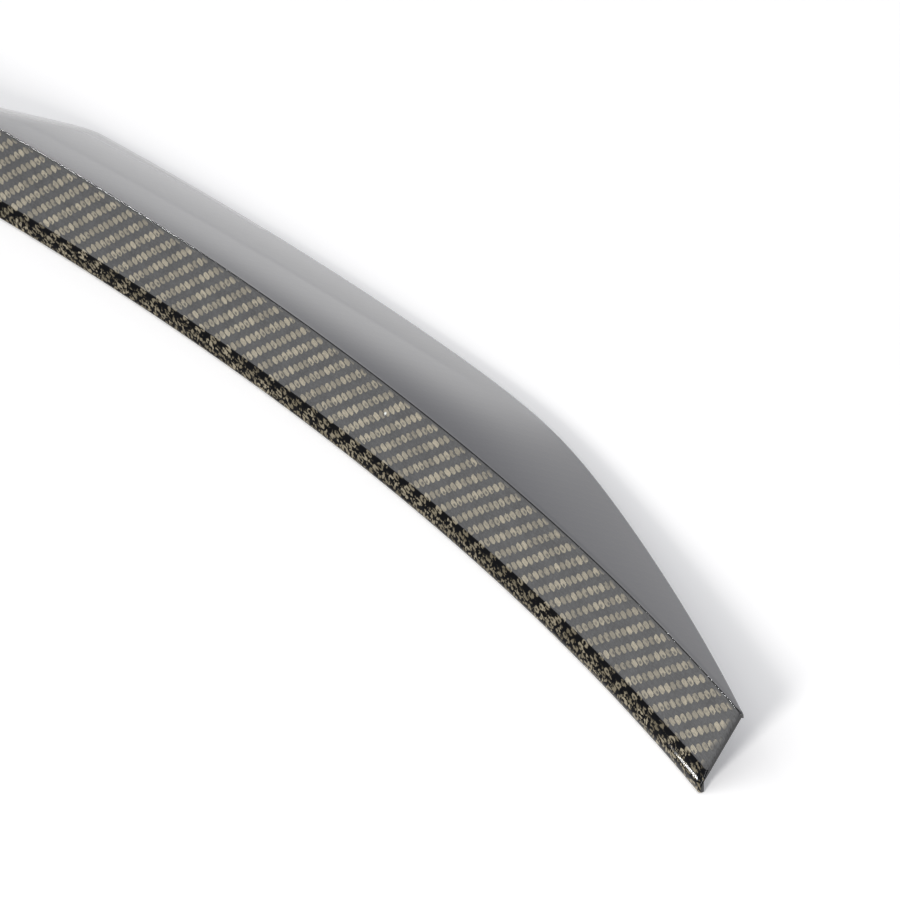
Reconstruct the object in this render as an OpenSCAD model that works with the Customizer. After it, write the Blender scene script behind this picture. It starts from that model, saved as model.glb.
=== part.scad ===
// Boot-lid lip spoiler, one moulded shell of woven composite.
// X runs across the car and Z is up. The part lies on its bonding rims at Z = 0.
// A sharp lip runs from end to end. The narrow face falls from it towards -Y, down to a
// rolled lower edge, and the wide deck falls towards +Y, down to a thin outer edge.
// Both ends of the lip sweep towards -Y. The deck narrows there and its outer edge rises to
// the lip, so that the shell lifts off the boot lid and ends in bare edges of its wall.

/* [Plan] */
// Width over both ends
width = 1150; // [900:10:1300]
// Sweep of the lip's ends from its middle
sweep = 88; // [40:1:120]
// Extra sweep that gathers near the ends
end_sweep = 9; // [0:1:20]

/* [Face] */
// Height of the lip above the bonding plane
lip_h = 22.5; // [18:0.5:32]
// Run of the face from the lip out to the crease above the rolled edge
face_run = 13.2; // [9:0.1:18]
// Run that the face gains from the middle of the car to an end
face_flare = 1; // [0:0.1:2]
// Height of the rolled lower edge under the face
roll_h = 6; // [4:0.5:8]
// Height that the rolled edge gains from the middle to an end
roll_rise = 1.3; // [0:0.1:2]
// Run of the rolled lower edge
roll_run = 1.9; // [1:0.1:3.5]
// Run that the rolled edge gains from the middle to an end
roll_flare = 1.6; // [0:0.1:2.5]
// Upright height of the rolled edge above its foot radius
roll_up = 0.6; // [0.2:0.1:1.5]
// Radius under the rolled edge
foot_r = 1; // [0.6:0.1:1.2]
// Radius of the lip
lip_r = 0.6; // [0.3:0.1:1]

/* [Deck] */
// Depth of the deck at the middle of the car, before the scallop is taken out
deck_w = 49.3; // [42:0.1:64]
// Depth that the deck would gain from the middle to an end without its taper
deck_flare = 4.2; // [0:0.1:10]
// Thickness of the deck's outer edge at the middle
edge_t = 1.5; // [1:0.1:2.5]
// Crown of the deck, which is flatter at the lip and steeper at its outer edge
crown = 0.3; // [0:0.05:0.5]
// Distance from the middle at which the deck turns into its taper
taper_x = 374; // [240:2:440]
// Softness of that turn
taper_ease = 39; // [10:1:80]
// Distance from the middle at which the outer edge turns up towards the lip
rise_x = 432; // [300:2:480]
// Softness of that turn
rise_ease = 150; // [40:5:200]
// Depth left of the deck at each end
tip_w = 1.4; // [1.2:0.1:4]

/* [Centre scallop] */
// Depth of the scallop in the middle of the outer edge
scallop_d = 27; // [0:1:28]
// Half length of the scallop's straight bottom
scallop_in = 37; // [10:1:60]
// Half length of the scallop over its two ramps
scallop_out = 102; // [80:1:150]

/* [Shell] */
// Wall of the face and the deck
wall = 1.8; // [1.5:0.1:3]
// Width of the rim under the rolled edge
face_land = 2.4; // [2.4:0.1:6]
// Width of the bonding land under the deck's outer edge
deck_land = 9; // [6:0.5:12]
// Distance from the middle at which that land starts to run out
land_end = 270; // [150:5:320]
// Length over which it runs out
land_fade = 60; // [20:5:100]
// Radius around each end
end_r = 0.9; // [0.3:0.1:1.1]

/* [Hidden] */
half = width / 2;
foot_steps = 3;
roll_steps = 4;
lip_steps = 3;
deck_steps = 10;
edge_steps = 3;
roof_steps = 6;
end_steps = 3;
// Where the underside of the land has its points, as shares of its width
land_shares = [1, 0.7, 0.4, 0.12];

// Places along half of the span, denser where the outline changes faster
narrow_x = taper_x - taper_ease;
half_x = concat(
    [for (i = [0 : 2]) scallop_in * i / 3],
    [for (i = [0 : 9]) scallop_in + (scallop_out - scallop_in) * i / 10],
    [for (i = [0 : 8]) scallop_out + (narrow_x - scallop_out) * i / 9],
    [for (i = [0 : 19]) narrow_x + (half - end_r - narrow_x) * i / 20]
);
// Rounding of the ends: [place, how far the outside shrinks there]
end_ring = [for (i = [0 : end_steps])
    let (a = 90 * i / end_steps) [half - end_r * (1 - sin(a)), end_r * (1 - cos(a))]];
right_ring = concat([for (x = half_x) [x, 0]], end_ring);
rings = concat(
    [for (i = [len(right_ring) - 1 : -1 : 1]) [-right_ring[i][0], right_ring[i][1]]],
    right_ring
);

function blend(t) = let (u = min(1, max(0, t))) u * u * (3 - 2 * u);

// A line that bends softly up at start, from 0 at the middle to 1 at the ends
function soft_ramp(x, start, ease) =
    let (h = function (v) v - start + sqrt((v - start) ^ 2 + ease ^ 2))
    (h(abs(x)) - h(0)) / (h(half) - h(0));

// Where the crease above the rolled edge and the foot of that edge lie at x. Both gather
// their gains near the ends.
function gain(x) = (abs(x) / half) ^ 3;
function crease_run(x) = face_run + face_flare * gain(x);
function crease_h(x) = roll_h + roll_rise * gain(x);
function foot_run(x) = crease_run(x) + roll_run + roll_flare * gain(x);

// Y of the lip, measured from its middle
function lip_y(x) = let (t = abs(x) / half) -sweep * t ^ 2 - end_sweep * t ^ 4;

// Depth of the deck at x, with its taper to the ends and the scallop in the middle
function deck_depth(x) =
    let (full = deck_w + deck_flare * abs(x) / half)
    tip_w + (full - tip_w) * (1 - soft_ramp(x, taper_x, taper_ease))
        - scallop_d * (1 - blend((abs(x) - scallop_in) / (scallop_out - scallop_in)));

// Height of the deck's outer edge: thin at the middle, rising to the lip at the ends
function edge_h(x) = edge_t + (lip_h - edge_t - lip_r) * soft_ramp(x, rise_x, rise_ease);

// Height of the deck at v, its share of the way from the lip to the outer edge
function deck_h(x, v) =
    let (bend = crown * deck_depth(x) / (deck_w + deck_flare))
    lip_h - (lip_h - edge_h(x)) * (v - bend * v * (1 - v));

// Outside of the wall at x, shrunk by s around the ends, as [y, z] from the lip: over the
// foot, the rolled edge, the face, the lip and the deck to the deck's outer edge
function outside(x, s, skin) =
    let (
        foot = s - foot_run(x),
        depth = deck_depth(x),
        top = lip_h - s - lip_r,
        start = lip_r * cos(40),
        bend_r = min(0.6 * edge_t, (depth - start) / 2, 0.8 * (skin - s))
    )
    concat(
        [for (i = [0 : foot_steps]) let (a = 90 * i / foot_steps)
            [foot + foot_r * (1 - sin(a)), foot_r * (1 - cos(a))]],
        [for (i = [1 : roll_steps]) let (t = i / roll_steps)
            [foot + (foot_run(x) - crease_run(x)) * t ^ 2,
             foot_r * (1 - t) ^ 2 + (foot_r + roll_up) * 2 * t * (1 - t) + crease_h(x) * t ^ 2]],
        [for (i = [0 : lip_steps]) let (a = 130 - 90 * i / lip_steps)
            [lip_r * cos(a), top + lip_r * sin(a)]],
        [for (i = [1 : deck_steps]) let (y = start + (depth - bend_r - start) * i / deck_steps)
            [y, deck_h(x, y / depth) - s]],
        [for (i = [1 : edge_steps]) let (a = 90 * i / edge_steps)
            [depth - bend_r * (1 - sin(a)), edge_h(x) - s - bend_r * (1 - cos(a))]]
    );

// Inside of the wall at x, back from the outer edge: along the underside of the land, which
// lifts to the deck's own underside as it runs out, and under the deck and the face to the
// rim under the rolled edge
function inside(x, skin) =
    let (
        depth = deck_depth(x),
        face_slope = (lip_h - crease_h(x)) / crease_run(x),
        face_drop = wall * sqrt(1 + face_slope ^ 2),
        fall = (lip_h - deck_h(x, 0.1)) / (0.1 * depth),
        apex = min((face_drop - skin) / (face_slope + fall), depth / 2),
        land = min(deck_land, 0.4 * (depth - apex)),
        roof_end = depth - land,
        lift = blend((abs(x) - land_end) / land_fade),
        rim = face_land - foot_run(x)
    )
    concat(
        [for (v = land_shares) let (y = roof_end + land * v)
            [y, max(0, lift * (deck_h(x, y / depth) - skin))]],
        [for (i = [roof_steps : -1 : 1]) let (y = apex + (roof_end - apex) * i / roof_steps)
            [y, deck_h(x, y / depth) - skin]],
        [for (y = [apex, rim]) [y, max(foot_r, lip_h + face_slope * y - face_drop)]],
        [[rim, 0]]
    );

// Closed outline of the wall at one ring, in its place
function wall_section(ring) =
    let (
        x = ring[0],
        skin = wall * sqrt(1 + ((lip_h - edge_h(x)) / deck_depth(x)) ^ 2)
    )
    [for (p = concat(outside(x, ring[1], skin), inside(x, skin))) [x, lip_y(x) + p[0], p[1]]];

// Closed skin through a row of outlines that all have the same number of points
module loft(sections) {
    n = len(sections[0]);
    last = len(sections) - 1;
    sides = [for (i = [0 : last - 1], j = [0 : n - 1])
        let (k = (j + 1) % n) each [
            [i * n + j, (i + 1) * n + k, i * n + k],
            [i * n + j, (i + 1) * n + j, (i + 1) * n + k]
        ]];
    polyhedron(
        points = [for (section = sections) each section],
        faces = concat(
            [[for (j = [0 : n - 1]) j]],
            sides,
            [[for (j = [n - 1 : -1 : 0]) last * n + j]]
        )
    );
}

// The lip's middle is moved so that the origin is at the middle of the base
outer_y = max([for (ring = rings) lip_y(ring[0]) + deck_depth(ring[0])]);
foot_y = min([for (ring = rings) lip_y(ring[0]) + ring[1] - foot_run(ring[0])]);

module spoiler() {
    color([0.22, 0.22, 0.22])
    translate([0, -(outer_y + foot_y) / 2, 0])
    loft([for (ring = rings) wall_section(ring)]);
}

spoiler();
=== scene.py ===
"""Looks of the boot-lid lip spoiler: a woven carbon skin under clear coat, in a pale studio.

The shell is lofted again from the lengths of the part's source, with more points.
"""

import math

import bpy
import numpy as np
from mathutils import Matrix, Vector


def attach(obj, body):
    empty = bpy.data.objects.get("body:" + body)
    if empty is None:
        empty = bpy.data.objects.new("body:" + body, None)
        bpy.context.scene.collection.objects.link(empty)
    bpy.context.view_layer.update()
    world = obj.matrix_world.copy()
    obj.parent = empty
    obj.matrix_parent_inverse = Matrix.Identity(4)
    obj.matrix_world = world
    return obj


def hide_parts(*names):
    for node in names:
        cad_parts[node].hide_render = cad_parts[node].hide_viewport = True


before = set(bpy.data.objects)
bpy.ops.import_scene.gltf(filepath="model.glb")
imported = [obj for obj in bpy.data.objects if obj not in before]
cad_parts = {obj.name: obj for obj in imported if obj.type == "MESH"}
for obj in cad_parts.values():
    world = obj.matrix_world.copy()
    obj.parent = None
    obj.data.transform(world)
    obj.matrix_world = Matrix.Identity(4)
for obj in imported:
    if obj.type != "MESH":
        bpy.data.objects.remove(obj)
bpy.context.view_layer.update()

MM = 0.001

# The section and plan of the shell, as in the part's source, in millimetres
WIDTH, SWEEP, END_SWEEP = 1150.0, 88.0, 9.0
LIP_H, FACE_RUN, FACE_FLARE, LIP_R = 22.5, 13.2, 1.0, 0.6
ROLL_H, ROLL_RISE, ROLL_RUN, ROLL_FLARE, ROLL_UP, FOOT_R = 6.0, 1.3, 1.9, 1.6, 0.6, 1.0
DECK_W, DECK_FLARE, EDGE_T, CROWN = 49.3, 4.2, 1.5, 0.3
TAPER_X, TAPER_EASE, RISE_X, RISE_EASE, TIP_W = 374.0, 39.0, 432.0, 150.0, 1.4
SCALLOP_D, SCALLOP_IN, SCALLOP_OUT = 27.0, 37.0, 102.0
WALL, FACE_LAND, DECK_LAND, LAND_END, LAND_FADE, END_R = 1.8, 2.4, 9.0, 270.0, 60.0, 0.9
HALF = WIDTH / 2
# Easing of the crease between the face and its rolled edge, and where on that edge it starts
CREASE_R, CREASE_FROM = 0.7, 0.9

# Places of the materials on the shell
FACE, DECK, INSIDE, TRIM, ROLL, LIP = range(6)
# What the from_lip attribute holds where nothing depends on the lip, in millimetres
FAR_FROM_LIP = 60.0

# The cloth of the deck and the inside: width of a tow, and its angle from the lip on the deck
TOW = 2.0
DECK_ANGLE = math.radians(-16.0)
# A small chip in the clear coat of the face, in metres
CHIP = (0.3435, -0.0040, 0.0163)


# --- the shell's mesh ---------------------------------------------------------------------------


def lip_y(x):
    t = abs(x) / HALF
    return -SWEEP * t**2 - END_SWEEP * t**4


def gain(x):
    return (abs(x) / HALF) ** 3


def crease_run(x):
    return FACE_RUN + FACE_FLARE * gain(x)


def crease_h(x):
    return ROLL_H + ROLL_RISE * gain(x)


def foot_run(x):
    return crease_run(x) + ROLL_RUN + ROLL_FLARE * gain(x)


def blend(t):
    u = min(1.0, max(0.0, t))
    return u * u * (3 - 2 * u)


def soft_ramp(x, start, ease):
    def h(v):
        return v - start + math.hypot(v - start, ease)

    return (h(abs(x)) - h(0)) / (h(HALF) - h(0))


def deck_depth(x):
    full = DECK_W + DECK_FLARE * abs(x) / HALF
    tapered = TIP_W + (full - TIP_W) * (1 - soft_ramp(x, TAPER_X, TAPER_EASE))
    return tapered - SCALLOP_D * (1 - blend((abs(x) - SCALLOP_IN) / (SCALLOP_OUT - SCALLOP_IN)))


def edge_h(x):
    return EDGE_T + (LIP_H - EDGE_T - LIP_R) * soft_ramp(x, RISE_X, RISE_EASE)


def deck_h(x, v):
    bend = CROWN * deck_depth(x) / (DECK_W + DECK_FLARE)
    return LIP_H - (LIP_H - edge_h(x)) * (v - bend * v * (1 - v))


# Steps along each stretch of the section, and around each end
FOOT_N, ROLL_N, CREASE_N, FACE_N, LIP_N, DECK_N, EDGE_N, ROOF_N = 6, 8, 4, 10, 8, 24, 6, 8
END_N = 6
# Where the underside of the land has its points, as shares of its width
LAND_SHARES = (1.0, 0.8, 0.6, 0.4, 0.12)
# The lip's arc, from the face to the deck, and how the deck's points crowd towards it
LIP_FIRST, LIP_LAST = math.radians(130), math.radians(65)
DECK_CROWDING = 1.5
# Distance between the rings of the mesh
RING_STEP = 2.0
# Points that measure the lip's length
LENGTH_N = 60
# Edges bent by more than this stay sharp
SHARP_ANGLE = math.radians(38)


def outside(x, s, skin):
    """The section from the foot, up the face, over the lip and down the deck.

    It is shrunk by s at a rounded end.
    """
    foot, depth, top = s - foot_run(x), deck_depth(x), LIP_H - s - LIP_R
    pts = []
    for i in range(FOOT_N + 1):
        a = math.pi / 2 * i / FOOT_N
        pts.append((foot + FOOT_R * (1 - math.sin(a)), FOOT_R * (1 - math.cos(a))))

    def rolled(t):
        z = FOOT_R * (1 - t) ** 2 + (FOOT_R + ROLL_UP) * 2 * t * (1 - t) + crease_h(x) * t**2
        return np.array((foot + (foot_run(x) - crease_run(x)) * t**2, z))

    pts += [tuple(rolled(CREASE_FROM * i / ROLL_N)) for i in range(1, ROLL_N)]
    face_top = np.array((LIP_R * math.cos(LIP_FIRST), top + LIP_R * math.sin(LIP_FIRST)))
    crease = rolled(1.0)
    up = (face_top - crease) / np.linalg.norm(face_top - crease)
    p0, p2 = rolled(CREASE_FROM), crease + up * CREASE_R
    for i in range(CREASE_N + 1):
        t = i / CREASE_N
        pts.append(tuple((1 - t) ** 2 * p0 + 2 * t * (1 - t) * crease + t**2 * p2))
    pts += [tuple(p2 + (face_top - p2) * i / FACE_N) for i in range(1, FACE_N)]
    for i in range(LIP_N + 1):
        a = LIP_FIRST + (LIP_LAST - LIP_FIRST) * i / LIP_N
        pts.append((LIP_R * math.cos(a), top + LIP_R * math.sin(a)))
    start, z0 = pts[-1]
    r = min(0.6 * EDGE_T, (depth - start) / 2, 0.8 * (skin - s))
    for i in range(1, DECK_N + 1):
        y = start + (depth - r - start) * (i / DECK_N) ** DECK_CROWDING
        pts.append((y, min(z0, deck_h(x, y / depth) - s)))
    for i in range(1, EDGE_N + 1):
        a = math.pi / 2 * i / EDGE_N
        pts.append((depth - r * (1 - math.sin(a)), edge_h(x) - s - r * (1 - math.cos(a))))
    return pts


def inside(x, skin):
    """The section from inside: under the land, the deck and the face, down to the face's rim."""
    depth = deck_depth(x)
    slope = (LIP_H - crease_h(x)) / crease_run(x)
    drop = WALL * math.hypot(1.0, slope)
    fall = (LIP_H - deck_h(x, 0.1)) / (0.1 * depth)
    apex = min((drop - skin) / (slope + fall), depth / 2)
    land = min(DECK_LAND, 0.4 * (depth - apex))
    roof_end = depth - land
    lift = blend((abs(x) - LAND_END) / LAND_FADE)
    rim = FACE_LAND - foot_run(x)
    pts = []
    for v in LAND_SHARES:
        y = roof_end + land * v
        pts.append((y, max(0.0, lift * (deck_h(x, y / depth) - skin))))
    for i in range(ROOF_N, 0, -1):
        y = apex + (roof_end - apex) * i / ROOF_N
        pts.append((y, deck_h(x, y / depth) - skin))
    pts += [(y, max(FOOT_R, LIP_H + slope * y - drop)) for y in (apex, rim)]
    return pts + [(rim, 0.0)]


def stations():
    """Rings along X: (place, shrink at the rounded end)."""
    inner = HALF - END_R
    right = [(x, 0.0) for x in np.arange(0.0, inner - RING_STEP / 2, RING_STEP)] + [(inner, 0.0)]
    for i in range(1, END_N + 1):
        a = math.pi / 2 * i / END_N
        right.append((HALF - END_R * (1 - math.sin(a)), END_R * (1 - math.cos(a))))
    return [(-x, s) for x, s in reversed(right[1:])] + right


def lip_length(x):
    """Length along the lip from the middle to |x|."""
    t = np.linspace(0, abs(x), LENGTH_N)
    y = np.array([lip_y(v) for v in t])
    return float(np.sum(np.hypot(np.diff(t), np.diff(y))))


def cloth_on_face(x):
    """Pitch vectors of the sheared cloth, (along the lip, down the face): long tows, cross tows.

    Its angles and pitches change along the part, and stay as they are beyond x = -0.3 HALF.
    """
    t = max(-0.3, x / HALF)
    long_angle = math.radians(9.0 - 1.2 * t - 5.4 * t * abs(t))
    cross_angle = math.radians(74.0 + 5.0 * t)
    long_pitch, cross_pitch = 1.89 + 0.45 * t * t, 1.86
    return (
        (long_pitch * math.cos(long_angle), long_pitch * math.sin(long_angle)),
        (cross_pitch * math.cos(cross_angle), cross_pitch * math.sin(cross_angle)),
    )


BASE_SHIFT = -(
    max(lip_y(x) + deck_depth(x) for x, s in stations())
    + min(lip_y(x) + s - foot_run(x) for x, s in stations())
) / 2


def build_shell():
    """The closed shell: its mesh, weave map, corner attributes and places of the materials."""
    rings = stations()
    crease_i = FOOT_N + ROLL_N + CREASE_N // 2
    bead = FOOT_N + ROLL_N + CREASE_N + FACE_N
    lip_i = bead + LIP_N // 2
    verts, loops, dist = [], [], []
    for x, s in rings:
        skin = WALL * math.hypot(1.0, (LIP_H - edge_h(x)) / deck_depth(x))
        outer = outside(x, s, skin)
        section = outer + inside(x, skin)
        loops.append(range(len(verts), len(verts) + len(section)))
        verts += [(x, lip_y(x) + y + BASE_SHIFT, z) for y, z in section]
        # distance of each point from the lip: positive down the face, negative over the deck
        p = np.array(outer)
        step = np.concatenate([[0], np.cumsum(np.hypot(*np.diff(p, axis=0).T))])
        dist.append(list(step[lip_i] - step) + [FAR_FROM_LIP] * (len(section) - len(outer)))
    n_outer, n_all = len(outer), len(section)
    s_of = [math.copysign(lip_length(x), x) for x, s in rings]
    # how the weave map changes along the lip (by s) and down the face (by n), and its sums
    by_s, by_n = [], []
    for x, _ in rings:
        (ux, uy), (vx, vy) = cloth_on_face(x)
        det = ux * vy - uy * vx
        slope = lip_y(x + 0.5) - lip_y(x - 0.5)
        run, fall = crease_run(x), LIP_H - crease_h(x)
        lean = -slope * run / math.hypot(run, fall) / math.hypot(1.0, slope)
        down = math.sqrt(1 - lean * lean)
        by_s.append((vy / det, -uy / det))
        by_n.append(((lean * vy - down * vx) / det, (down * ux - lean * uy) / det))
    lip_uv = [(0.0, 0.0)]
    for k in range(1, len(rings)):
        ds = s_of[k] - s_of[k - 1]
        lip_uv.append(
            tuple(lip_uv[-1][c] + ds * (by_s[k][c] + by_s[k - 1][c]) / 2 for c in (0, 1))
        )

    def face_uv(k, j):
        n = dist[k][j]
        return tuple(lip_uv[k][c] + n * by_n[k][c] for c in (0, 1))

    def deck_uv(k, j):
        n, a = dist[k][j], DECK_ANGLE
        return (
            (s_of[k] * math.cos(a) + n * math.sin(a)) / TOW,
            (n * math.cos(a) - s_of[k] * math.sin(a)) / TOW,
        )

    def inside_uv(k, j):
        v = verts[loops[k][j]]
        return (v[0] / TOW, v[1] / TOW)

    faces, mats, uvs, lips, ends = [], [], [], [], []
    for k in range(len(rings) - 1):
        for j in range(n_all):
            q = (j + 1) % n_all
            corners = ((k, j), (k, q), (k + 1, q), (k + 1, j))
            if j < crease_i:
                kind, uv_of = ROLL, face_uv
            elif bead <= j < bead + LIP_N:
                kind, uv_of = LIP, face_uv
            elif j < lip_i:
                kind, uv_of = FACE, face_uv
            elif j < n_outer - 1:
                kind, uv_of = DECK, deck_uv
            else:
                kind, uv_of = (TRIM if j == n_outer - 1 else INSIDE), inside_uv
            faces.append([loops[r][c] for r, c in corners])
            mats.append(kind)
            uvs += [uv_of(r, c) for r, c in corners]
            lips += [FAR_FROM_LIP if kind in (INSIDE, TRIM) else dist[r][c] for r, c in corners]
            ends += [HALF - abs(rings[r][0]) for r, c in corners]
    for k, turn in ((0, -1), (len(rings) - 1, 1)):
        order = list(range(n_all))[::turn]
        faces.append([loops[k][j] for j in order])
        mats.append(TRIM)
        uvs += [inside_uv(k, j) for j in order]
        lips += [FAR_FROM_LIP] * n_all
        ends += [0.0] * n_all
    me = bpy.data.meshes.new("spoiler_shell")
    me.from_pydata([(x * MM, y * MM, z * MM) for x, y, z in verts], [], faces)
    me.update()
    uv = me.uv_layers.new(name="weave")
    uv.data.foreach_set("uv", [c for p in uvs for c in p])
    for name, values in (("from_lip", lips), ("from_end", ends)):
        layer = me.attributes.new(name, "FLOAT", "CORNER")
        layer.data.foreach_set("value", values)
    me.polygons.foreach_set("material_index", mats)
    me.polygons.foreach_set("use_smooth", [True] * len(faces))
    me.set_sharp_from_angle(angle=SHARP_ANGLE)
    me.update()
    obj = bpy.data.objects.new("spoiler_shell", me)
    bpy.context.scene.collection.objects.link(obj)
    return obj


# --- materials ----------------------------------------------------------------------------------


class Nodes:
    """Small helper that writes node maths as calls."""

    def __init__(self, tree):
        self.tree = tree

    def new(self, kind, **values):
        node = self.tree.nodes.new(kind)
        for key, value in values.items():
            setattr(node, key, value)
        return node

    def link(self, value, socket):
        if hasattr(value, "is_output"):
            self.tree.links.new(value, socket)
        else:
            socket.default_value = value

    def math(self, op, *args, clamp=False):
        node = self.new("ShaderNodeMath", operation=op, use_clamp=clamp)
        for value, socket in zip(args, node.inputs):
            self.link(value, socket)
        return node.outputs[0]

    def add(self, a, b):
        return self.math("ADD", a, b)

    def sub(self, a, b):
        return self.math("SUBTRACT", a, b)

    def mul(self, a, b):
        return self.math("MULTIPLY", a, b)

    def wrap(self, a, n):
        return self.math("FLOORED_MODULO", a, n)

    def step(self, a, low, high):
        """Smooth step of a from low to high."""
        node = self.new("ShaderNodeMapRange", interpolation_type="SMOOTHSTEP", clamp=True)
        self.link(a, node.inputs["Value"])
        self.link(low, node.inputs["From Min"])
        self.link(high, node.inputs["From Max"])
        return node.outputs["Result"]

    def below(self, a, low, high):
        """One below low, falling smoothly to 0 at high."""
        return self.sub(1.0, self.step(a, low, high))

    def mix(self, factor, a, b):
        node = self.new("ShaderNodeMix", data_type="FLOAT")
        self.link(factor, node.inputs[0])
        self.link(a, node.inputs[2])
        self.link(b, node.inputs[3])
        return node.outputs[0]

    def color(self, factor, a, b):
        node = self.new("ShaderNodeMix", data_type="RGBA")
        self.link(factor, node.inputs[0])
        for value, socket in ((a, node.inputs[6]), (b, node.inputs[7])):
            if isinstance(value, tuple):
                socket.default_value = (*value, 1.0)
            else:
                self.tree.links.new(value, socket)
        return node.outputs[2]

    def xyz(self, x, y, z=0.0):
        node = self.new("ShaderNodeCombineXYZ")
        for value, socket in zip((x, y, z), node.inputs):
            self.link(value, socket)
        return node.outputs[0]

    def noise(self, vector, scale, detail=2.0):
        node = self.new("ShaderNodeTexNoise")
        self.link(vector, node.inputs["Vector"])
        node.inputs["Scale"].default_value = scale
        node.inputs["Detail"].default_value = detail
        return node.outputs["Fac"]

    def distance(self, a, point):
        node = self.new("ShaderNodeVectorMath", operation="DISTANCE")
        self.link(a, node.inputs[0])
        node.inputs[1].default_value = point
        return node.outputs["Value"]

    def attribute(self, name):
        return self.new("ShaderNodeAttribute", attribute_name=name).outputs["Fac"]

    def place(self):
        """Position in the object's own frame, in metres."""
        return self.new("ShaderNodeTexCoord").outputs["Object"]

    def hash(self, vector):
        node = self.new("ShaderNodeTexWhiteNoise", noise_dimensions="3D")
        self.link(vector, node.inputs["Vector"])
        return node.outputs["Value"]


# The clear coat: its roughness, its IOR, and the IOR of the thick bead on the lip
COAT_ROUGHNESS, COAT_IOR, BEAD_IOR = 0.04, 1.5, 1.9
# Relief of the tows in millimetres: on the face, and on the deck and the rolled edge
FACE_RELIEF, FLAT_RELIEF = 0.05, 0.012
# How far the tows wander, in tows
WANDER = 0.35


def material(name):
    mat = bpy.data.materials.new(name)
    mat.use_nodes = True
    tree = mat.node_tree
    shader = next(n for n in tree.nodes if n.type == "BSDF_PRINCIPLED")
    return mat, Nodes(tree), shader


def twill(n, seed):
    """The 2x2 twill of the weave map: masks and heights of its long and its cross floats."""
    uv = n.new("ShaderNodeUVMap", uv_map="weave").outputs[0]
    split = n.new("ShaderNodeSeparateXYZ")
    n.link(uv, split.inputs[0])
    u0, v0 = split.outputs[0], split.outputs[1]
    low = n.xyz(n.mul(u0, 0.11), n.mul(v0, 0.23), seed)
    sway = n.sub(n.noise(low, 1.0, 1.0), 0.5)
    low2 = n.xyz(n.mul(u0, 0.31), n.mul(v0, 0.13), seed + 7.0)
    sway2 = n.sub(n.noise(low2, 1.0, 1.0), 0.5)
    u = n.add(u0, n.mul(sway2, WANDER))
    v = n.add(v0, n.mul(sway, WANDER))
    i, j = n.math("FLOOR", u), n.math("FLOOR", v)
    fu, fv = n.math("FRACT", u), n.math("FRACT", v)
    along = n.wrap(n.add(u, j), 4.0)
    long_on = n.math("LESS_THAN", along, 2.0)
    t_long = n.mul(along, 0.5)
    cross = n.sub(n.wrap(n.add(v, i), 4.0), 2.0)
    t_cross = n.mul(cross, 0.5)

    def square(x):
        c = n.sub(n.mul(x, 2.0), 1.0)
        return n.mul(c, c)

    def bulge(x):
        return n.sub(1.0, square(x))

    side_l, arch_l = bulge(fv), bulge(t_long)
    side_c, arch_c = bulge(fu), bulge(t_cross)
    return {
        "round_long": n.add(square(fv), square(t_long)),
        "round_cross": n.add(square(fu), square(t_cross)),
        "fv": fv,
        "t_long": t_long,
        "u": u,
        "v": v,
        "j": j,
        "long_on": long_on,
        "side_long": side_l,
        "arch_long": arch_l,
        "side_cross": side_c,
        "arch_cross": arch_c,
        "float_id": n.math("FLOOR", n.mul(n.add(u, j), 0.25)),
    }


def oval_cells(n, w):
    """The oval that shows of each long float: its mask, its darker core and its own random."""
    per_float = n.hash(n.xyz(w["float_id"], w["j"], 1.0))
    per_float2 = n.hash(n.xyz(w["float_id"], w["j"], 6.0))
    blotch = n.noise(n.xyz(n.mul(w["u"], 2.4), n.mul(w["v"], 3.8), 9.0), 1.0, 2.0)
    reach = n.add(n.mix(per_float, 1.0, 1.3), n.mul(n.sub(blotch, 0.5), 2.4))
    mask = n.below(w["round_long"], n.sub(reach, 0.30), n.add(reach, 0.12))
    # neighbouring tows part along a thin dark line
    gap = n.math("ABSOLUTE", n.sub(w["fv"], 0.5))
    mask = n.mul(mask, n.sub(1.0, n.mul(n.step(gap, 0.38, 0.49), 0.85)))
    mask = n.mul(mask, w["long_on"])
    # resin darkens one side or the middle of some ovals, which leaves rings and hooks
    off_u = n.mul(n.sub(per_float2, 0.5), 0.5)
    off_v = n.mul(n.sub(per_float, 0.6), 0.5)
    cu = n.sub(n.sub(w["t_long"], 0.5), off_u)
    cv = n.sub(n.sub(w["fv"], 0.5), off_v)
    e = n.mul(n.add(n.mul(cu, cu), n.mul(cv, cv)), 4.0)
    core = n.below(e, 0.03, 0.30)
    return mask, core, per_float, per_float2


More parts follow.
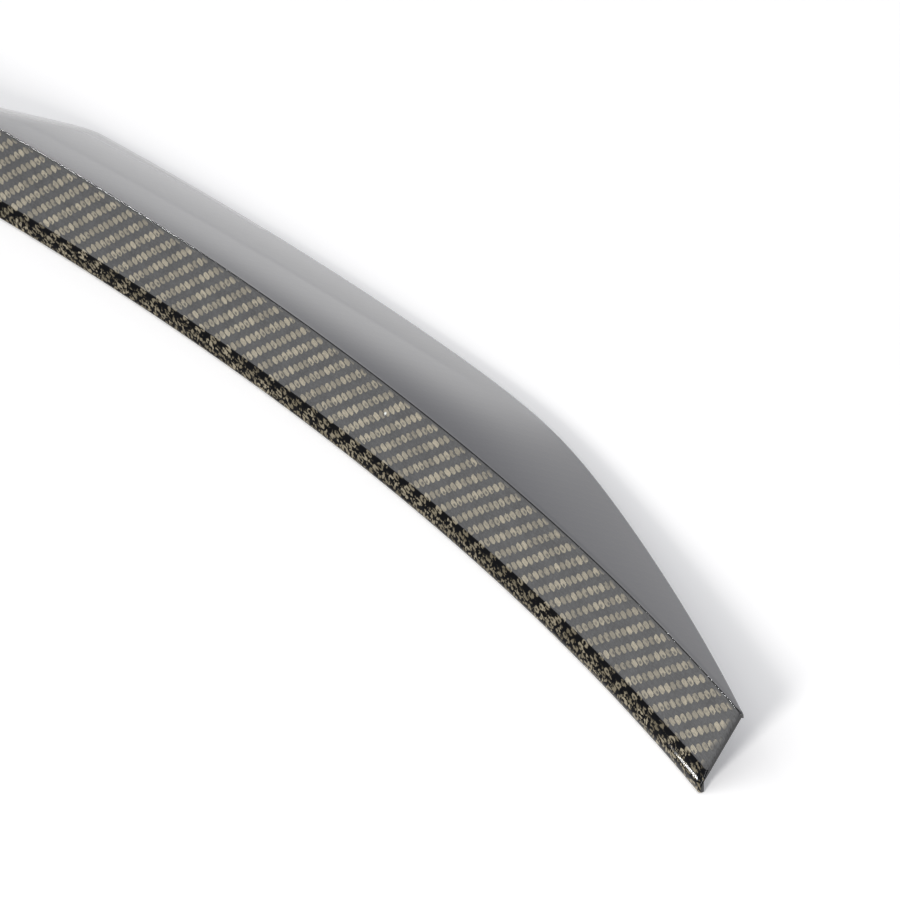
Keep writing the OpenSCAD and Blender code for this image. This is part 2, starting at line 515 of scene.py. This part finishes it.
def weave_face():
    """The face: pale ovals of the long floats between darker cross tows."""
    mat, n, shader = material("woven_face")
    w = twill(n, 3.0)
    d = n.attribute("from_lip")
    edge = n.attribute("from_end")
    grain = n.noise(n.xyz(n.mul(w["u"], 1.5), n.mul(w["v"], 6.0), 0.5), 1.0, 2.0)
    cloud = n.noise(n.xyz(n.mul(w["u"], 0.2), n.mul(w["v"], 0.35), 2.0), 1.0, 2.0)
    oval, core, per_float, per_float2 = oval_cells(n, w)
    core = n.mul(core, n.step(per_float2, 0.30, 0.75))
    # near the lip and the ends the tows sink into clear resin
    sunk = n.mul(n.step(d, 0.5, 1.9), n.step(n.add(edge, n.mul(cloud, 6.0)), 4.5, 9.0))
    oval = n.mul(oval, sunk)
    beige = n.color(per_float, (0.165, 0.146, 0.108), (0.320, 0.285, 0.212))
    beige = n.color(n.mul(n.step(grain, 0.38, 0.66), 0.5), beige, (0.09, 0.08, 0.06))
    beige = n.color(n.mul(core, 0.85), beige, (0.04, 0.038, 0.034))
    cross = n.color(cloud, (0.004, 0.004, 0.005), (0.048, 0.049, 0.052))
    cross = n.color(n.mul(n.step(grain, 0.40, 0.70), 0.45), cross, (0.075, 0.076, 0.080))
    # a thin dark line runs round each oval
    rim = n.mul(n.mul(n.step(w["round_long"], 0.8, 1.2), w["long_on"]), 0.8)
    cross = n.color(rim, cross, (0.010, 0.010, 0.008))
    # near-black right behind the lip: clear resin there, and painted shade for the dark line
    # along the lip
    cross = n.color(n.below(d, 0.15, 0.55), cross, (0.003, 0.003, 0.004))
    base = n.color(oval, cross, beige)
    shader.inputs["Specular IOR Level"].default_value = 0.22
    # one small whitish chip in the clear coat
    where = n.place()
    ragged = n.noise(where, 2600.0, 1.0)
    chip = n.sub(n.distance(where, CHIP), n.mul(ragged, 0.0007))
    base = n.color(n.below(chip, 0.00010, 0.00030), base, (0.62, 0.64, 0.62))
    n.link(base, shader.inputs["Base Color"])
    finish_coat(n, shader, w, FACE_RELIEF)
    return mat


def weave_roll():
    """The rolled lower edge: near-black, partly resin and partly painted shade where it turns
    away from the light, with what still shows of the floats.
    """
    mat, n, shader = material("woven_roll")
    w = twill(n, 3.0)
    d = n.attribute("from_lip")
    low = n.step(d, 22.6, 24.2)
    fleck = n.noise(n.xyz(n.mul(w["u"], 0.9), n.mul(w["v"], 1.6), 4.0), 1.0, 1.0)
    oval, core, per_float, per_float2 = oval_cells(n, w)
    cross_oval = n.below(w["round_cross"], 0.7, 1.1)
    cross_oval = n.mul(cross_oval, n.sub(1.0, w["long_on"]))
    extra = n.mul(n.mul(cross_oval, low), n.step(fleck, 0.50, 0.56))
    broken = n.mul(oval, n.step(fleck, 0.42, 0.49))
    broken = n.mul(broken, n.sub(1.0, n.mul(core, 0.85)))
    flecks = n.math("MAXIMUM", broken, extra)
    beige = n.color(per_float, (0.13, 0.114, 0.080), (0.30, 0.265, 0.195))
    beige = n.color(n.mul(per_float2, 0.45), beige, (0.06, 0.05, 0.035))
    # near-black between the flecks: resin, and painted shade where the cross tows turn away from
    # the light
    base = n.color(flecks, (0.006, 0.0062, 0.007), beige)
    n.link(base, shader.inputs["Base Color"])
    finish_coat(n, shader, w, FLAT_RELIEF)
    # the coat is thin here, and thick again in the bead under the edge
    n.link(n.mix(n.step(d, 26.2, 27.4), 0.10, 0.9), shader.inputs["Coat Weight"])
    shader.inputs["Specular IOR Level"].default_value = 0.0
    return mat


def weave_deck():
    """The deck: dark cloth that barely shows through what the coat mirrors."""
    mat, n, shader = material("woven_deck")
    w = twill(n, 11.0)
    d = n.attribute("from_lip")
    grain = n.noise(n.xyz(n.mul(w["u"], 1.5), n.mul(w["v"], 5.0), 0.5), 1.0, 2.0)
    oval = n.below(w["round_long"], 0.3, 1.2)
    oval = n.mul(n.mul(oval, w["long_on"]), 0.5)
    tow = n.color(n.step(grain, 0.3, 0.7), (0.046, 0.046, 0.047), (0.058, 0.057, 0.056))
    base = n.color(oval, (0.045, 0.045, 0.047), tow)
    # towards the ends, painted shade darkens the deck beside the lip
    edge = n.attribute("from_end")
    painted_shade_by_lip = n.mul(n.step(d, -3.4, -1.4), n.below(edge, 120.0, 200.0))
    base = n.color(painted_shade_by_lip, base, (0.006, 0.006, 0.007))
    n.link(base, shader.inputs["Base Color"])
    finish_coat(n, shader, w, FLAT_RELIEF)
    return mat


def lip_resin():
    """The lip: a bead of clear resin over black, which is partly painted shade for the dark line
    along the lip.
    """
    mat, n, shader = material("lip_resin")
    where = n.place()
    streaks = n.noise(where, 400.0, 2.0)
    # near-black base: resin, and painted shade for the lip's dark line
    n.link(
        n.color(streaks, (0.002, 0.002, 0.002), (0.010, 0.010, 0.009)),
        shader.inputs["Base Color"],
    )
    shader.inputs["Roughness"].default_value = 0.4
    shader.inputs["Specular IOR Level"].default_value = 0.0
    clear_coat(shader, BEAD_IOR)
    return mat


def cut_edge():
    """The trimmed edge of the wall: dark resin."""
    mat, n, shader = material("trimmed_edge")
    where = n.place()
    layers = n.noise(where, 900.0, 3.0)
    n.link(
        n.color(layers, (0.012, 0.012, 0.012), (0.03, 0.03, 0.03)), shader.inputs["Base Color"]
    )
    shader.inputs["Roughness"].default_value = 0.35
    return mat


def clear_coat(shader, ior):
    shader.inputs["Coat Weight"].default_value = 1.0
    shader.inputs["Coat Roughness"].default_value = COAT_ROUGHNESS
    shader.inputs["Coat IOR"].default_value = ior


def finish_coat(n, shader, w, depth_mm):
    """Tows stand a little proud under a smooth, hard clear coat."""
    height_long = n.mul(n.mul(w["side_long"], w["arch_long"]), w["long_on"])
    height_cross = n.mul(
        n.mul(w["side_cross"], w["arch_cross"]), n.sub(1.0, w["long_on"])
    )
    bump = n.new("ShaderNodeBump")
    bump.inputs["Strength"].default_value = 0.6
    bump.inputs["Distance"].default_value = depth_mm * MM
    n.link(n.add(height_long, height_cross), bump.inputs["Height"])
    n.link(bump.outputs[0], shader.inputs["Normal"])
    shader.inputs["Roughness"].default_value = 0.42
    clear_coat(shader, COAT_IOR)


def inside_skin():
    """The mould-free side: matt resin with the cloth's print in it."""
    mat, n, shader = material("bare_inside")
    w = twill(n, 17.0)
    grain = n.noise(n.xyz(n.mul(w["u"], 0.8), n.mul(w["v"], 0.8), 0.0), 1.0, 4.0)
    base = n.color(n.mul(grain, w["long_on"]), (0.018, 0.018, 0.018), (0.05, 0.05, 0.048))
    n.link(base, shader.inputs["Base Color"])
    bump = n.new("ShaderNodeBump")
    bump.inputs["Strength"].default_value = 0.7
    bump.inputs["Distance"].default_value = 0.15 * MM
    n.link(grain, bump.inputs["Height"])
    n.link(bump.outputs[0], shader.inputs["Normal"])
    shader.inputs["Roughness"].default_value = 0.6
    return mat


# --- stage, light and camera --------------------------------------------------------------------

FLOOR_HALF_SIDE, FLOOR_Z = 30.0, -0.0003
# What the floor adds to the light it returns: beside this place, around it and far away
GLOW_PLACE = (0.3, 0.0, 0.0)
GLOW_NEAR, GLOW_FAR, GLOW_EDGE = 0.20, 0.26, 0.50

# The room: its walls, the panel in it, and the dark band and gap of the panel
WALLS, PANEL = (0.42, 0.425, 0.46), (1.06, 1.06, 1.05)
DARK_BAND, DARK_GAP = (0.02, 0.02, 0.022), (0.10, 0.10, 0.11)
FRONT_LEFT = (-0.64, -0.77)
# The haze at its horizon, left and right of the camera's far side
HAZE_LEFT, HAZE_RIGHT = (1.22, 1.22, 1.23), (0.60, 0.60, 0.62)

# Area lights: name, target, direction, distance, size and power, in metres and watts. After the
# softbox come small strips that draw the glints on the lip, its corner and the rolled edge.
LIGHTS = (
    ("softbox", (0.35, 0.0, 0.0), (0.4935, -0.8014, 0.3363), 3.0, (0.42, 0.42), 71.0),
    ("lip_strip", (0.125, 0.0294, 0.0222), (-0.722, 0.08, 0.687), 1.5, (0.04, 0.06), 0.9),
    ("corner_strip", (0.565, -0.0606, 0.0222), (-0.787, 0.158, 0.594), 1.5, (0.05, 0.004), 0.12),
    ("edge_strip", (0.566, -0.0770, 0.0038), (-0.9605, -0.278, 0.0045), 3.0, (0.07, 0.035), 1.0),
)
LIGHT_COLORS = {"softbox": (1.0, 0.985, 0.965)}

CAMERA_ELEVATION, CAMERA_AZIMUTH = math.radians(27.50), math.radians(48.24)
CAMERA_DISTANCE, CAMERA_AIM_X = 3.666, 0.300
# In the photograph's pixels: focal length, width, and how far the view turns from the aim
FOCUS_PX, IMAGE_PX, TURN_RIGHT_PX, TURN_DOWN_PX = 11000.0, 900.0, 67.0, 73.3
SENSOR_MM, CLIP_END = 36.0, 200.0


def build_floor():
    """A pale floor that keeps its shadow, with a glow that only the rays that see it take up."""
    me = bpy.data.meshes.new("floor")
    s, z = FLOOR_HALF_SIDE, FLOOR_Z
    me.from_pydata([(-s, -s, z), (s, -s, z), (s, s, z), (-s, s, z)], [], [(0, 1, 2, 3)])
    floor = bpy.data.objects.new("floor", me)
    bpy.context.scene.collection.objects.link(floor)
    mat = bpy.data.materials.new("pale_floor")
    mat.use_nodes = True
    tree = mat.node_tree
    tree.nodes.clear()
    n = Nodes(tree)
    diffuse = n.new("ShaderNodeBsdfDiffuse")
    diffuse.inputs["Color"].default_value = (0.93, 0.93, 0.93, 1)
    glow = n.new("ShaderNodeEmission")
    glow.inputs["Color"].default_value = (1, 1, 1, 1)
    path = n.new("ShaderNodeLightPath")
    seen = n.math(
        "MAXIMUM",
        n.math("MAXIMUM", path.outputs["Is Camera Ray"], path.outputs["Is Glossy Ray"]),
        path.outputs["Is Transmission Ray"],
    )
    away = n.distance(n.place(), GLOW_PLACE)
    level = n.mix(n.step(away, 0.15, 0.6), GLOW_NEAR, GLOW_FAR)
    level = n.mix(n.step(away, 0.6, 3.5), level, GLOW_EDGE)
    n.link(n.mul(seen, level), glow.inputs["Strength"])
    both = n.new("ShaderNodeAddShader")
    n.link(diffuse.outputs[0], both.inputs[0])
    n.link(glow.outputs[0], both.inputs[1])
    out = n.new("ShaderNodeOutputMaterial")
    n.link(both.outputs[0], out.inputs["Surface"])
    me.materials.append(mat)


def build_world():
    """A pale room: a bright panel at the front left over a dark band, and haze elsewhere."""
    world = bpy.data.worlds.new("studio")
    bpy.context.scene.world = world
    world.use_nodes = True
    tree = world.node_tree
    tree.nodes.clear()
    n = Nodes(tree)
    direction = n.new("ShaderNodeTexCoord").outputs["Generated"]
    split = n.new("ShaderNodeSeparateXYZ")
    n.link(direction, split.inputs[0])
    x, y, z = split.outputs
    front = n.add(n.mul(x, FRONT_LEFT[0]), n.mul(y, FRONT_LEFT[1]))
    side = n.step(front, -0.25, 0.35)
    up = n.step(z, 0.12, 0.24)
    panel = n.mul(side, up)
    color = n.color(panel, WALLS, PANEL)
    low = n.mul(n.below(z, 0.09, 0.16), side)
    color = n.color(low, color, DARK_BAND)
    # a dark gap in the panel, which the lip mirrors
    gap = n.mul(n.step(z, 0.48, 0.56), n.step(y, -0.30, -0.15))
    gap = n.mul(gap, n.below(x, -0.50, -0.35))
    color = n.color(gap, color, DARK_GAP)
    haze = n.mul(n.below(z, 0.04, 0.21), n.sub(1.0, side))
    glare = n.color(n.step(x, -0.645, -0.57), HAZE_LEFT, HAZE_RIGHT)
    color = n.color(haze, color, glare)
    back = n.new("ShaderNodeBackground")
    n.link(color, back.inputs["Color"])
    out = n.new("ShaderNodeOutputWorld")
    n.link(back.outputs[0], out.inputs["Surface"])


def build_light(name, target, direction, distance, size, power):
    """An area light of the given size that shines at target from that direction."""
    light = bpy.data.lights.new(name, "AREA")
    light.shape = "RECTANGLE"
    light.size, light.size_y = size
    light.energy = power
    light.color = LIGHT_COLORS.get(name, (1.0, 1.0, 1.0))
    obj = bpy.data.objects.new(name, light)
    bpy.context.scene.collection.objects.link(obj)
    target = Vector(target)
    obj.location = target + Vector(direction).normalized() * distance
    obj.rotation_euler = (target - obj.location).to_track_quat("-Z", "Y").to_euler()


def build_camera():
    """The camera at the photograph's place, with its aim off the middle of the picture."""
    aim = Vector((CAMERA_AIM_X, BASE_SHIFT * MM, 0.0))
    away = Vector(
        (
            math.sin(CAMERA_AZIMUTH) * math.cos(CAMERA_ELEVATION),
            -math.cos(CAMERA_AZIMUTH) * math.cos(CAMERA_ELEVATION),
            math.sin(CAMERA_ELEVATION),
        )
    )
    forward = -away
    right = forward.cross(Vector((0, 0, 1))).normalized()
    up = right.cross(forward)
    turn = right * (TURN_RIGHT_PX / FOCUS_PX) - up * (TURN_DOWN_PX / FOCUS_PX)
    forward = (forward + turn).normalized()
    cam = bpy.data.cameras.new("camera")
    cam.sensor_width = SENSOR_MM
    cam.lens = SENSOR_MM * FOCUS_PX / IMAGE_PX
    cam.clip_end = CLIP_END
    obj = bpy.data.objects.new("camera", cam)
    bpy.context.scene.collection.objects.link(obj)
    obj.location = aim + away * CAMERA_DISTANCE
    obj.rotation_euler = forward.to_track_quat("-Z", "Y").to_euler()
    bpy.context.scene.camera = obj


shell = build_shell()
# in the order of FACE, DECK, INSIDE, TRIM, ROLL and LIP
skins = (weave_face(), weave_deck(), inside_skin(), cut_edge(), weave_roll(), lip_resin())
for mat in skins:
    shell.data.materials.append(mat)
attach(shell, "root")
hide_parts("spoiler")
build_floor()
build_world()
for light in LIGHTS:
    build_light(*light)
build_camera()
bpy.context.scene.view_settings.view_transform = "Standard"
